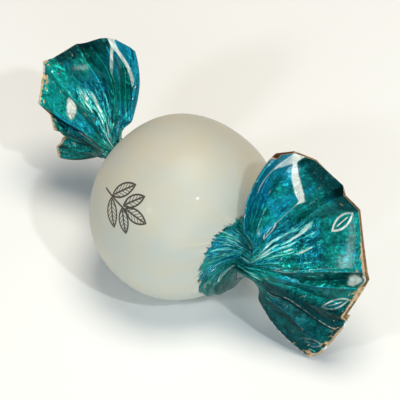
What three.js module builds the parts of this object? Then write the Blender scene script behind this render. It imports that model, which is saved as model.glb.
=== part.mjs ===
// A twist-wrapped mint fondant lying on its side: a round sweet shut in printed film, whose two ends
// are gathered, twisted and spread into pleated fans. Sweet and film are one shut solid.
// Millimetres and degrees. +Z is up and +X runs along the sweet, from its far twist to its near one.
// The origin is on the flat spot that the sweet rests on, straight under its middle.

import * as THREE from 'three';

// ---- Driving dimensions ---------------------------------------------------------------------

const sweet = {
  halfLength: 12.7, // from the middle to where the rounded end would close, along X
  halfWidth: 14.0,
  halfHeight: 13.7,
  squareness: 2.25, // 2 is an ellipse, and more is boxier
  restHeight: 12.7, // from the flat spot up to the middle
  unevenness: 0.012, // soft dents and swells, as a share of the radius
};

const gather = {
  leavesAt: 50, // angle along the sweet's side, from its middle ring, where the film lifts off it
  twistAt: 14.7, // from the middle of the sweet to the start of the twist
  twistLength: 1.8,
  twistRadius: 1.9,
  turn: 75, // how far the film turns about X between the sweet and the twist
  foldDepth: 0.08, // depth of the gathered folds, as a share of the radius
  sagsAt: -105, // where the gathered film bags out most, as an angle about X
};

// Each wing is a fan of folds that spreads from its twist. Sweep turns it towards +Y, lift raises it
// and lean tips its upper border back towards +Y. Seen from its front, it opens from a lower border
// to an upper one, and a main fold, the spine, splits it into a lower and an upper half.
const nearWing = {
  side: 1,
  sag: 2.7, // how far the gathered film bags out under the twist
  sweep: 33,
  lift: 18,
  lean: 33,
  opening: 138, // from one border to the other, at the free edge
  bell: 0.5, // how much wider than that the fan bulges near the twist, as a share
  lowerReach: 15.8, // from the twist out to the free edge, along the lower border
  middleReach: 18.3,
  upperReach: 18.2,
  drawnIn: 2.1, // how far the lower part of the free edge is drawn in towards the twist
  drawnTo: 0.6, // where that part ends, as a share of the way up the fan
  spine: 0.42, // where the main fold lies, as a share of the way up the fan
  lowerBend: 16, // how far each half turns back from the spine
  upperBend: 6,
  lowerCurl: 20, // how far each border rolls, towards the front where positive
  upperCurl: 95,
  foldSlope: 34, // how steeply the sides of a fold stand out of the fan
  broadFlanks: [11, 14], // sides of folds that are left broad and flat
  cup: -1.5, // how far the free edge bends out of the fan, to the front
  ragged: 0.35, // unevenness of the free edge
  seed: 11,
};

const farWing = {
  side: -1,
  sag: 0.7,
  sweep: -16,
  lift: 26,
  lean: 30,
  opening: 116,
  bell: 0.55,
  lowerReach: 10.5,
  middleReach: 16.8,
  upperReach: 15.8,
  drawnIn: 6.2,
  drawnTo: 0.57,
  spine: 0.5,
  lowerBend: 22,
  upperBend: 22,
  lowerCurl: -10,
  upperCurl: 20,
  foldSlope: 32,
  broadFlanks: [9, 12],
  cup: 1.0,
  ragged: 0.35,
  seed: 5,
};

const filmThickness = 0.9; // of a fan: two layers of film with the air between them
const broadWidth = 3.2; // of a broad side of a fold, where the others are about 1
const widthSpread = 0.35; // how much the sides of folds differ in width, as a share
const slopeSpread = 0.3; // and in how steeply they stand, as a share
const broadSlope = 0.25; // slope of a broad side, as a share of the others'
const curledFlanks = 3; // sides of folds that take part in a border's roll
const drawnSkew = 1.25; // over 1, the free edge is drawn in most above the middle of its drawn part
const bellFrom = 0.3; // how far out the bulge and the folds are full, as a share of the reach
const flatFrom = 0.5; // how far out the film has gone from a round twist to two flat layers

// ---- How finely the surface is divided ------------------------------------------------------

const flanks = 18; // sides of folds across a fan
const stepsPerFlank = 2;
const layerSteps = flanks * stepsPerFlank; // across one layer of a fan
const lines = layerSteps * 2; // right round the film: the front layer and the back one
const bodyRings = 7; // from the middle ring to where the film lifts off
const gatherRings = 6;
const twistRings = 2;
const fanRings = 8;
const fanCrowding = 1.1; // over 1, the rings of a fan stand closer together near the twist

// ---- Colours of the printed film ------------------------------------------------------------

const pearlWhite = new THREE.Color(0.84, 0.81, 0.73);
const mintTeal = new THREE.Color(0.04, 0.45, 0.43);
const tealFrom = 11.2; // distance from the middle at which the print begins to turn teal
const tealFade = 0.8; // and the distance over which it turns

// ---- Small helpers --------------------------------------------------------------------------

const radians = THREE.MathUtils.degToRad;
const { lerp, smoothstep } = THREE.MathUtils;

const smallAngle = 0.01; // radians, for measuring how a curve slopes

// A repeatable random number from -1 to 1 for each whole number.
function jitter(seed, index) {
  const wave = Math.sin(seed * 127.1 + index * 311.7) * 43758.5453;
  return (wave - Math.floor(wave)) * 2 - 1;
}

// ---- The fan's folds ------------------------------------------------------------------------

// The fan's own axes: out along its middle, across towards its upper border, and its front normal.
function fanAxes(wing) {
  const sweep = radians(wing.sweep);
  const lift = radians(wing.lift);
  const lean = radians(wing.lean);
  const out = new THREE.Vector3(
    wing.side * Math.cos(lift) * Math.cos(sweep),
    Math.cos(lift) * Math.sin(sweep),
    Math.sin(lift),
  );
  const front = new THREE.Vector3().crossVectors(out, new THREE.Vector3(0, 0, wing.side)).normalize();
  const upright = new THREE.Vector3().crossVectors(front, out).multiplyScalar(wing.side);
  const across = upright.multiplyScalar(Math.cos(lean)).addScaledVector(front, -Math.sin(lean));
  const normal = new THREE.Vector3().crossVectors(out, across).multiplyScalar(wing.side);
  return { out, across, normal };
}

// How steeply one side of a fold runs out of the fan on its way up the fan, in degrees.
function flankHeading(wing, flank) {
  const share = (flank + 0.5) / flanks;
  const broad = wing.broadFlanks.includes(flank);
  const slope = wing.foldSlope * (broad ? broadSlope : 1 + slopeSpread * jitter(wing.seed, flank));
  const bend = share < wing.spine ? wing.lowerBend : -wing.upperBend;
  const upper = smoothstep(flank, flanks - 1 - curledFlanks, flanks - 1);
  const lower = smoothstep(flanks - 1 - flank, flanks - 1 - curledFlanks, flanks - 1);
  const folded = (flank % 2 ? -slope : slope) * (1 - upper) * (1 - lower);
  return folded + bend + wing.upperCurl * upper - wing.lowerCurl * lower;
}

// The creases between the sides of the folds, from the lower border to the upper one: how far each
// lies across the fan and out of it, in radians, and its reach.
function fanCreases(wing) {
  const creases = [{ across: 0, out: 0 }];
  for (let flank = 0; flank < flanks; flank++) {
    const heading = radians(flankHeading(wing, flank));
    const usual = wing.broadFlanks.includes(flank) ? broadWidth : 1;
    const width = usual * (1 + widthSpread * jitter(wing.seed + 1, flank));
    const last = creases[flank];
    creases.push({
      across: last.across + width * Math.cos(heading),
      out: last.out + width * Math.sin(heading),
    });
  }
  const total = creases[flanks].across;
  const scale = radians(wing.opening) / total;
  const level = creases[Math.round(flanks * wing.spine)].out;
  creases.forEach((crease, index) => {
    const share = crease.across / total;
    const ends = lerp(wing.lowerReach, wing.upperReach, share);
    const bow = 4 * share * (1 - share) * (wing.middleReach - (wing.lowerReach + wing.upperReach) / 2);
    const drawnShare = Math.min(index / flanks / wing.drawnTo, 1) ** drawnSkew;
    const drawn = wing.drawnIn * Math.sin(Math.PI * drawnShare);
    crease.reach = ends + bow - drawn + wing.ragged * jitter(wing.seed + 2, index);
    crease.across = (crease.across - total / 2) * scale;
    crease.out = (crease.out - level) * scale;
  });
  return creases;
}

// The middle surface of a fan, as rings of points from the lower border to the upper one. The first
// ring is the twist itself.
function fanSurface(wing, root) {
  const { out, across, normal } = fanAxes(wing);
  const creases = fanCreases(wing);

  function creasePoint(crease, share) {
    const spread = 1 + wing.bell * (1 - share) * smoothstep(share, 0, bellFrom);
    const angle = crease.across * spread;
    const stand = crease.out * spread * smoothstep(share, -bellFrom, bellFrom);
    return new THREE.Vector3()
      .addScaledVector(out, Math.cos(stand) * Math.cos(angle))
      .addScaledVector(across, Math.cos(stand) * Math.sin(angle))
      .addScaledVector(normal, Math.sin(stand))
      .multiplyScalar(crease.reach * share)
      .addScaledVector(normal, wing.cup * share * share)
      .add(root);
  }

  const surface = [];
  for (let ring = 0; ring <= fanRings; ring++) {
    const share = (ring / fanRings) ** fanCrowding;
    const points = [];
    for (let column = 0; column <= layerSteps; column++) {
      const flank = Math.min(Math.floor(column / stepsPerFlank), flanks - 1);
      const first = creasePoint(creases[flank], share);
      points.push(first.lerp(creasePoint(creases[flank + 1], share), column / stepsPerFlank - flank));
    }
    surface.push(points);
  }
  return surface;
}

// The front normal of that surface at one point of a ring, taken over a whole fold, so that the two
// layers of film stand off it without crossing in a fold.
function surfaceNormal(row, column, root, side) {
  const fold = 2 * stepsPerFlank;
  const along = row[column].clone().sub(root);
  const up = row[Math.min(column + fold, layerSteps)].clone().sub(row[Math.max(column - fold, 0)]);
  return along.cross(up).multiplyScalar(side).normalize();
}

// ---- Rings of points, each a full turn round the film ---------------------------------------

// The unit circle's two coordinates at a line of the film.
function aroundFilm(line) {
  const angle = (2 * Math.PI * line) / lines;
  return [Math.cos(angle), Math.sin(angle)];
}

// The film's distance from the middle along X, and its radius as a share of the sweet's.
function sweetProfile(angle) {
  const power = 2 / sweet.squareness;
  return [sweet.halfLength * Math.sin(angle) ** power, Math.cos(angle) ** power];
}

function gatherProfile(share) {
  const angle = radians(gather.leavesAt);
  const [startX, startRadius] = sweetProfile(angle);
  const [beforeX, beforeRadius] = sweetProfile(angle - smallAngle);
  const endRadius = gather.twistRadius / sweet.halfWidth;
  const span = gather.twistAt - startX;
  const slope = (startRadius - beforeRadius) / (startX - beforeX);
  const square = share * share;
  const cube = square * share;
  const x = startX + span * share;
  const radius =
    startRadius * (2 * cube - 3 * square + 1) +
    slope * span * (cube - 2 * square + share) +
    endRadius * (3 * square - 2 * cube);
  return [x, radius];
}

// Soft dents and swells, so that the sweet isn't turned as if on a lathe.
function softShape(angle, x) {
  const along = x / sweet.halfLength;
  const twoSided = Math.sin(2 * angle + 0.7 + along);
  const threeSided = Math.sin(3 * angle - 1.1 * along + 2.0);
  const fiveSided = 0.6 * Math.sin(5 * angle + 1.4);
  return 1 + sweet.unevenness * (twoSided + threeSided + fiveSided);
}

// The rings of one end, from beside the middle ring out to the fan's free edge. Each ring lists its
// points in the order of the sweet's own lines, counted about +X.
function endRings(wing) {
  const { across, normal } = fanAxes(wing);
  const tilt = Math.atan2(across.z, across.y);
  const shift = Math.round(((tilt + radians(gather.turn)) / (2 * Math.PI)) * lines);
  const turn = (2 * Math.PI * shift) / lines - tilt;
  const rings = [];

  // A line of the film is a column of the fan's front layer, or of its back one.
  const columnOf = (line) => (line <= layerSteps ? layerSteps - line : line - layerSteps);
  const layerOf = (line) => (line % layerSteps ? (line < layerSteps ? 1 : -1) : 0);

  function foldAt(line, depth) {
    const crease = columnOf(line) / stepsPerFlank;
    return Number.isInteger(crease) ? 1 + depth * layerOf(line) * (crease % 2 ? 1 : -1) : 1;
  }

  function addRing(pointAt) {
    const ring = [];
    for (let index = 0; index < lines; index++) {
      ring.push(pointAt(index, (index - shift + 2 * lines) % lines));
    }
    rings.push(ring);
  }

  function addRoundRing([x, radius], depth = 0, turned = 0, sag = 0) {
    addRing((index, line) => {
      const angle = (2 * Math.PI * index) / lines - turned;
      const bag = sag * Math.max(Math.cos(angle - radians(gather.sagsAt)), 0) ** 2;
      const size = radius * foldAt(line, depth) * softShape(angle, wing.side * x) + bag / sweet.halfWidth;
      return new THREE.Vector3(
        wing.side * x,
        sweet.halfWidth * size * Math.cos(angle),
        sweet.halfHeight * size * Math.sin(angle),
      );
    });
  }

  for (let ring = 1; ring <= bodyRings; ring++) {
    const angle = radians((gather.leavesAt * ring) / bodyRings);
    addRoundRing(sweetProfile(angle));
  }
  for (let ring = 1; ring <= gatherRings; ring++) {
    const share = ring / gatherRings;
    const depth = gather.foldDepth * smoothstep(share, 0, 1);
    const sag = wing.sag * Math.sin(Math.PI * share) ** 2;
    addRoundRing(gatherProfile(share), depth, turn * share * share, sag);
  }

  // The ring of the twist tips from upright into the fan's own axes.
  const twistUp = new THREE.Vector3(0, Math.cos(tilt), Math.sin(tilt));
  const twistFront = new THREE.Vector3(0, -Math.sin(tilt), Math.cos(tilt));

  function twistOffset(line, share) {
    const [alongAcross, alongNormal] = aroundFilm(line);
    const radius = gather.twistRadius * foldAt(line, gather.foldDepth);
    const first = twistUp.clone().lerp(across, share).normalize();
    const second = twistFront.clone().lerp(normal, share).normalize();
    return first.multiplyScalar(radius * alongAcross).addScaledVector(second, radius * alongNormal);
  }

  for (let ring = 1; ring <= twistRings; ring++) {
    const share = ring / twistRings;
    const middle = new THREE.Vector3(wing.side * (gather.twistAt + gather.twistLength * share), 0, 0);
    addRing((index, line) => twistOffset(line, share).add(middle));
  }

  // The round twist flattens into the fan, whose two layers stand off its middle surface.
  const root = new THREE.Vector3(wing.side * (gather.twistAt + gather.twistLength), 0, 0);
  const surface = fanSurface(wing, root);
  for (let ring = 1; ring <= fanRings; ring++) {
    const flat = smoothstep(ring / fanRings, 0, flatFrom);
    addRing((index, line) => {
      const column = columnOf(line);
      const facing = surfaceNormal(surface[ring], column, root, wing.side);
      return surface[ring][column]
        .clone()
        .addScaledVector(twistOffset(line, 1), 1 - flat)
        .addScaledVector(facing, (layerOf(line) * flat * filmThickness) / 2);
    });
  }
  return { rings, shift };
}

// ---- The solid ------------------------------------------------------------------------------

function wrappedSweetGeometry() {
  const near = endRings(nearWing);
  const far = endRings(farWing);
  const middle = [];
  for (let index = 0; index < lines; index++) {
    const [cos, sin] = aroundFilm(index);
    const size = softShape((2 * Math.PI * index) / lines, 0);
    middle.push(new THREE.Vector3(0, sweet.halfWidth * size * cos, sweet.halfHeight * size * sin));
  }
  const rings = [...far.rings.reverse(), middle, ...near.rings];

  const positions = [];
  const colours = [];
  for (const point of rings.flat()) {
    const teal = smoothstep(Math.abs(point.x), tealFrom, tealFrom + tealFade);
    const colour = pearlWhite.clone().lerp(mintTeal, teal);
    positions.push(point.x, point.y, Math.max(point.z + sweet.restHeight, 0));
    colours.push(colour.r, colour.g, colour.b);
  }

  const faces = [];
  for (let ring = 0; ring < rings.length - 1; ring++) {
    for (let line = 0; line < lines; line++) {
      const here = ring * lines + line;
      const beside = ring * lines + ((line + 1) % lines);
      faces.push(here, beside, beside + lines);
      faces.push(here, beside + lines, here + lines);
    }
  }

  // Each free edge is a narrow strip that joins the front layer to the back one.
  function closeEdge(ring, shift, reversed) {
    const at = (line) => ring * lines + ((line + shift + lines) % lines);

    function addFace(a, b, c) {
      const corners = reversed ? [a, c, b] : [a, b, c];
      faces.push(...corners.map(at));
    }

    for (let line = 0; line < layerSteps; line++) {
      const opposite = lines - line - 1;
      if (line < layerSteps - 1) addFace(line, line + 1, opposite);
      if (line > 0) addFace(line, line < layerSteps - 1 ? opposite : line + 1, opposite + 1);
    }
  }
  closeEdge(rings.length - 1, near.shift, false);
  closeEdge(0, far.shift, true);

  const geometry = new THREE.BufferGeometry();
  geometry.setAttribute('position', new THREE.Float32BufferAttribute(positions, 3));
  geometry.setAttribute('color', new THREE.Float32BufferAttribute(colours, 3));
  geometry.setIndex(faces);
  geometry.computeVertexNormals();
  return geometry;
}

const printedFilm = new THREE.MeshStandardMaterial({
  vertexColors: true,
  roughness: 0.3,
  metalness: 0.3,
});

const wrappedSweet = new THREE.Mesh(wrappedSweetGeometry(), printedFilm);
wrappedSweet.name = 'wrapped_sweet';

const group = new THREE.Group();
group.add(wrappedSweet);

export default group;
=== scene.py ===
"""A twist-wrapped mint fondant, laid on its side on a pale studio floor.

One sheet of film is shut round a round sweet, gathered and twisted at both ends and spread into two
pleated fans. It is pearly cream over the sweet and metallic teal on the ends.
"""

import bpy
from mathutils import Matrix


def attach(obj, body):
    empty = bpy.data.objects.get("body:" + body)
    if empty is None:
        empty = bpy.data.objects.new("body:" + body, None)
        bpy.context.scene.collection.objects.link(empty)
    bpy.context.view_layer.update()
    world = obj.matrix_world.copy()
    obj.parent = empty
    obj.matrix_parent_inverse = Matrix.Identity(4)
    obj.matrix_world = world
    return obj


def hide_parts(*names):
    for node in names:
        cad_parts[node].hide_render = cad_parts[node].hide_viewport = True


bl_info = {
    "name": "Twist-Wrapped Mint Fondant",
    "version": (1, 0, 0),
    "blender": (4, 5, 0),
    "location": "View3D > Sidebar > Mint Fondant",
    "description": "Wraps a round fondant in printed film and twists its ends into pleated fans",
    "category": "Add Mesh",
}

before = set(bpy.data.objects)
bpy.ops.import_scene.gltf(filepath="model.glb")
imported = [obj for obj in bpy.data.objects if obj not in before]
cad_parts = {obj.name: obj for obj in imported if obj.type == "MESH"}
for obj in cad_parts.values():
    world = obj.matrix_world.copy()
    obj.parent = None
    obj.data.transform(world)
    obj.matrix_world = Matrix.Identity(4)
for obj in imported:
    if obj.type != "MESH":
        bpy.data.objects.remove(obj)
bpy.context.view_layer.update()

import math

import bpy
import numpy as np
from mathutils import Vector

MM = 0.001
UP = Vector((0, 0, 1))
BODY = "root"
NODE = "wrapped_sweet"
SHEET_MAP = "OFBake"  # the UV map that unrolls the film

# How finely the film is divided. A flank is one side of a fold.
FLANKS = 18
STEPS = 14  # across a flank
HALF = FLANKS * STEPS  # across one layer of a fan
LINES = 2 * HALF  # right round the film
SOLID_LINES = 72  # right round the solid that the film replaces, which sets how far it is turned
BODY_RINGS = 26  # from the middle ring to where the film lifts off the sweet
GATHER_RINGS = 46
TWIST_RINGS = 8
FAN_RINGS = 84
POCKET_RINGS = 30
POCKET_DEPTH = 0.42  # how near the twist a fan's two layers part, as a share of the way out
FAN_CROWDING = 1.1  # over 1, the rings of a fan stand closer together near the twist
BARE_INSIDE = 1  # the material index of the film's inner side
PRINTED = "film_with_print"
FAR_AWAY = 20.0  # so far from the free edge, or from a pale line, neither of them matters
SPRIG_AROUND = 2.54  # where the sprig is printed, round the film in radians
SPRIG_ALONG = -1.6  # and along it in millimetres
UNDERNEATH = -1.3  # the line of the film that lies lowest, round it in radians

# Colours that no setting holds, as shares of red, green and blue light
DARK_GOLD = (0.32, 0.2, 0.11)
ROOM_COLOUR = (0.93, 0.97, 1)
WARM, WHITE, COOL = (1, 0.92, 0.79), (0.9, 0.97, 1), (0.64, 0.86, 1)

# Each lamp's direction from the sweet (right, up and back in the photograph's view), its distance,
# width and height in metres, and its colour
LAMPS = {
    "key": ((0.12, 0.77, 0.65), 0.5, 0.3, 0.3, WARM),
    "flash": ((0.41, 0.16, 0.9), 0.45, 0.02, 0.026, WHITE),
    "side": ((-0.65, 0.02, 0.76), 0.45, 0.06, 0.06, WHITE),
    "fill": ((0.1, -0.5, 0.85), 0.5, 0.45, 0.3, COOL),
}


# ---- Sizes and colours that a user would change ------------------------------------------------


def length(name, description, millimetres):
    return bpy.props.FloatProperty(
        name=name, description=description, default=millimetres * MM, unit="LENGTH", precision=5
    )


def turn(name, description, degrees):
    return bpy.props.FloatProperty(
        name=name, description=description, default=math.radians(degrees), subtype="ANGLE"
    )


def share(name, description, default):
    return bpy.props.FloatProperty(name=name, description=description, default=default, subtype="FACTOR")


def power(name, description, watts):
    return bpy.props.FloatProperty(
        name=name, description=description, default=watts, subtype="POWER", unit="POWER"
    )


def whole(name, description, default):
    return bpy.props.IntProperty(name=name, description=description, default=default, min=0)


def colour(name, description, *screen):
    """A colour, given as it looks on a screen, from 0 to 255."""
    linear = [((value / 255 + 0.055) / 1.055) ** 2.4 for value in screen]
    return bpy.props.FloatVectorProperty(
        name=name, description=description, default=linear, subtype="COLOR", min=0, max=1
    )


class SweetSizes(bpy.types.PropertyGroup):
    """The round sweet and the gathered, twisted film beside it."""

    half_length: length("Half Length", "From the middle to where the rounded end would close", 12.7)
    half_width: length("Half Width", "Half of the sweet's width", 14.0)
    half_height: length("Half Height", "Half of the sweet's height", 13.7)
    rest_height: length("Rest Height", "From the flat spot up to the middle", 12.7)
    squareness: share("Squareness", "2 is an ellipse, and more is boxier", 2.25)
    unevenness: share("Unevenness", "Soft dents and swells, as a share of the radius", 0.012)
    leaves_at: turn("Film Leaves At", "Where the film lifts off, as an angle from the middle ring", 50)
    twist_at: length("Twist At", "From the middle of the sweet to the start of the twist", 14.7)
    twist_length: length("Twist Length", "How long the twist is", 1.8)
    twist_radius: length("Twist Radius", "Half of the twist's thickness", 1.9)
    twist_turn: turn("Twist Turn", "How far the film turns between the sweet and the twist", 75)
    fold_depth: share("Gather Depth", "Depth of the gathered folds, as a share of the radius", 0.08)


FAN_SETTINGS = {
    "sag": (length, "Sag", "How far the gathered film bags out under the twist"),
    "sweep": (turn, "Sweep", "How far the fan turns towards +Y"),
    "lift": (turn, "Lift", "How far the fan is raised"),
    "lean": (turn, "Lean", "How far its upper border tips back towards +Y"),
    "opening": (turn, "Opening", "From one border to the other, at the free edge"),
    "bell": (share, "Bell", "How much wider than that the fan bulges near the twist"),
    "lower_reach": (length, "Lower Reach", "From the twist to the free edge along the lower border"),
    "middle_reach": (length, "Middle Reach", "From the twist to the free edge along the middle"),
    "upper_reach": (length, "Upper Reach", "From the twist to the free edge along the upper border"),
    "drawn_in": (length, "Drawn In", "How far the lower part of the free edge is drawn in"),
    "drawn_to": (share, "Drawn To", "Where that part ends, as a share of the way up the fan"),
    "spine": (share, "Spine", "Where the main fold lies, as a share of the way up the fan"),
    "lower_bend": (turn, "Lower Bend", "How far the lower half turns back from the spine"),
    "upper_bend": (turn, "Upper Bend", "How far the upper half turns back from the spine"),
    "lower_curl": (turn, "Lower Curl", "How far the lower border rolls towards the front"),
    "upper_curl": (turn, "Upper Curl", "How far the upper border rolls towards the front"),
    "fold_slope": (turn, "Fold Slope", "How steeply the sides of a fold stand out of the fan"),
    "first_broad": (whole, "First Broad Flank", "A side of a fold that is left broad and flat"),
    "second_broad": (whole, "Second Broad Flank", "Another broad and flat side of a fold"),
    # glints, bright_at and shade set painted light in the print's colour: painted glints, a painted
    # highlight spot, and painted shade below the main fold
    "glints": (share, "Glints", "How brightly the film glints where it spreads from the twist"),
    "bright_at": (share, "Bright Spot At", "How far out a bright spot lies, as a share of the reach"),
    "shade": (share, "Shade", "How much deeper the print looks below the main fold"),
    "cup": (length, "Cup", "How far the free edge bends out of the fan"),
    "ragged": (length, "Ragged Edge", "Unevenness of the free edge"),
    "seed": (whole, "Seed", "Draws the chance differences between the folds"),
}


def fan_settings(**defaults):
    return {
        key: kind(name, description, defaults[key])
        for key, (kind, name, description) in FAN_SETTINGS.items()
    }


class NearFan(bpy.types.PropertyGroup):
    """The fan at the near end, which shows its front."""

    __annotations__ = fan_settings(
        sag=2.7, sweep=33, lift=18, lean=33, opening=138, bell=0.5,
        lower_reach=15.8, middle_reach=18.3, upper_reach=18.2, drawn_in=2.1, drawn_to=0.6,
        spine=0.42, lower_bend=16, upper_bend=6, lower_curl=20, upper_curl=95,
        fold_slope=34, first_broad=11, second_broad=14, shade=0.85, glints=1, bright_at=0.9,
        cup=-1.5, ragged=0.35, seed=11,
    )


class FarFan(bpy.types.PropertyGroup):
    """The fan at the far end."""

    __annotations__ = fan_settings(
        sag=0.7, sweep=-16, lift=26, lean=30, opening=116, bell=0.55,
        lower_reach=10.5, middle_reach=16.8, upper_reach=15.8, drawn_in=6.2, drawn_to=0.57,
        spine=0.5, lower_bend=22, upper_bend=22, lower_curl=-10, upper_curl=20,
        fold_slope=32, first_broad=9, second_broad=12, shade=0.3, glints=1, bright_at=0.55,
        cup=1.0, ragged=0.35, seed=5,
    )


class FilmSettings(bpy.types.PropertyGroup):
    """The film: how thick and crumpled it is, and what is printed on it."""

    broad_width: share("Broad Width", "Width of a broad side of a fold, where the others are 1", 3.2)
    thickness: length("Film Thickness", "Thickness of the film itself", 0.12)
    twist_gap: length("Gap at the Twist", "Between the outsides of a fan's two layers", 0.7)
    mouth_gap: length("Gap at the Free Edge", "Between the outsides of a fan's two layers", 1.2)
    crumple: length("Crumple Depth", "Depth of the creases across the folds", 0.42)
    crinkle: length("Crinkle Depth", "Depth of the fine crinkles beside the twist", 0.2)
    tension: length("Tension Wrinkles", "Depth of the wrinkles that run onto the sweet", 0.10)
    print_start: length("Print Start", "Along the film, from its middle to where the teal begins", 15.2)
    cream: colour("Warm Cream", "The film over the sweet", 202, 194, 173)
    cool_white: colour("Cool White", "Its cooler, greyer places", 192, 194, 184)
    green_teal: colour("Green Teal", "The print on the ends", 8, 150, 142)
    # Blue teal: the print's random blue shimmer, and the painted blue sheen on the roll and beside the
    # main fold
    blue_teal: colour("Blue Teal", "Where the print shimmers blue", 18, 158, 184)
    # Deep teal: the painted shade of the folds and under the twists, and also the print's darker
    # mottling
    deep_teal: colour("Deep Teal", "The print in the folds that turn away", 4, 66, 68)
    # Glint: the colour of the painted glints, which are painted highlights
    glint: colour("Glint", "The bright streaks where the film is gathered", 72, 214, 200)
    # Silver: the printed leaf outlines and worn lines, and also the painted highlight lines, spot,
    # glints and patches on the cut
    silver: colour("Silver", "The leaf outlines in the print, and where it is worn", 232, 236, 226)
    gold: colour("Gold Inside", "The bare inner side and the cut edge", 210, 176, 134)
    ink: colour("Brown Ink", "The sprig on the cream", 40, 26, 16)


class StudioSettings(bpy.types.PropertyGroup):
    """Camera, floor and lights."""

    azimuth: turn("Azimuth", "Turn of the camera round the sweet", 50)
    elevation: turn("Elevation", "Height of the camera above the floor", 45)
    view_width: length("View Width", "Width that the picture takes in at the sweet", 60)
    distance: length("Camera Distance", "From the sweet to the camera", 500)
    aim_right: length("Aim Right", "How far right of the sweet's middle the camera looks", 2.7)
    aim_up: length("Aim Up", "How far above the sweet's middle it looks", 1.0)
    key: power("Soft Key", "Power of the large lamp overhead", 1.77)
    flash: power("Flash", "Power of the small lamp near the camera", 0.42)
    side: power("Side", "Power of the small lamp at the left that glints on the folds", 0.3)
    fill: power("Cool Fill", "Power of the large lamp low in front", 1.02)
    room: share("Room", "Brightness of the room", 0.15)
    floor: colour("Floor", "The pale floor", 251, 251, 250)


class FondantSettings(bpy.types.PropertyGroup):
    """All the settings of the wrapped sweet."""

    sweet: bpy.props.PointerProperty(name="Sweet", type=SweetSizes)
    near_fan: bpy.props.PointerProperty(name="Near Fan", type=NearFan)
    far_fan: bpy.props.PointerProperty(name="Far Fan", type=FarFan)
    film: bpy.props.PointerProperty(name="Film", type=FilmSettings)
    studio: bpy.props.PointerProperty(name="Studio", type=StudioSettings)


# ---- Small helpers -----------------------------------------------------------------------------


def smoothstep(value, low, high):
    way = np.clip((value - low) / (high - low), 0, 1)
    return way * way * (3 - 2 * way)


def mix(low, high, way):
    return low + (high - low) * way


def unit(vectors):
    return vectors / np.linalg.norm(vectors, axis=-1, keepdims=True)


def jitter(seed, index):
    """A repeatable random number from -1 to 1 for each whole number."""
    wave = math.sin(seed * 127.1 + index * 311.7) * 43758.5453
    return (wave - math.floor(wave)) * 2 - 1


def jitters(seed, count):
    return np.array([jitter(seed, index) for index in range(count)])


def zigzag(value):
    """1 at the even whole numbers, -1 at the odd ones, and straight in between."""
    return 2 * np.abs(value % 2 - 1) - 1


def swell(places, seed, size):
    """Soft hills and hollows about size across, from -1 to 1."""
    waves, highest = 6, 3.2
    draw = np.random.default_rng(seed)
    height = 0
    for _ in range(waves):
        direction = unit(draw.normal(size=3)) / (size * draw.uniform(0.7, 1.5))
        height = height + np.sin(places @ direction * math.pi + draw.uniform(0, 2 * math.pi))
    return height / highest


def crumple(places, seed, size):
    """Flat facets about size across that meet in sharp creases, from -1 to 1."""
    waves, bending = 8, 0.18
    draw = np.random.default_rng(seed)
    bends = [swell(places, seed + shift, size) for shift in (1, 2, 3)]
    bent = places + bending * size * np.stack(bends, -1)
    height = 0
    total = 0
    for wave in range(waves):
        wavelength = size * draw.uniform(0.6, 1.9)
        direction = unit(draw.normal(size=3)) / wavelength
        fading = 0.55 + 0.45 * swell(places, seed + 10 + wave, 2.2 * size)
        height = height + wavelength * fading * zigzag(bent @ direction + draw.uniform(0, 2))
        total += wavelength
    return 2 * height / total


def stray(way, slow, quick, phases):
    """A wave on the way out, with a smaller and quicker one on it."""
    return np.sin(slow * way + phases[0]) + 0.6 * np.sin(quick * way + phases[1])


# ---- How the print looks, with its painted shade, sheen and highlights -------------------------


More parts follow.
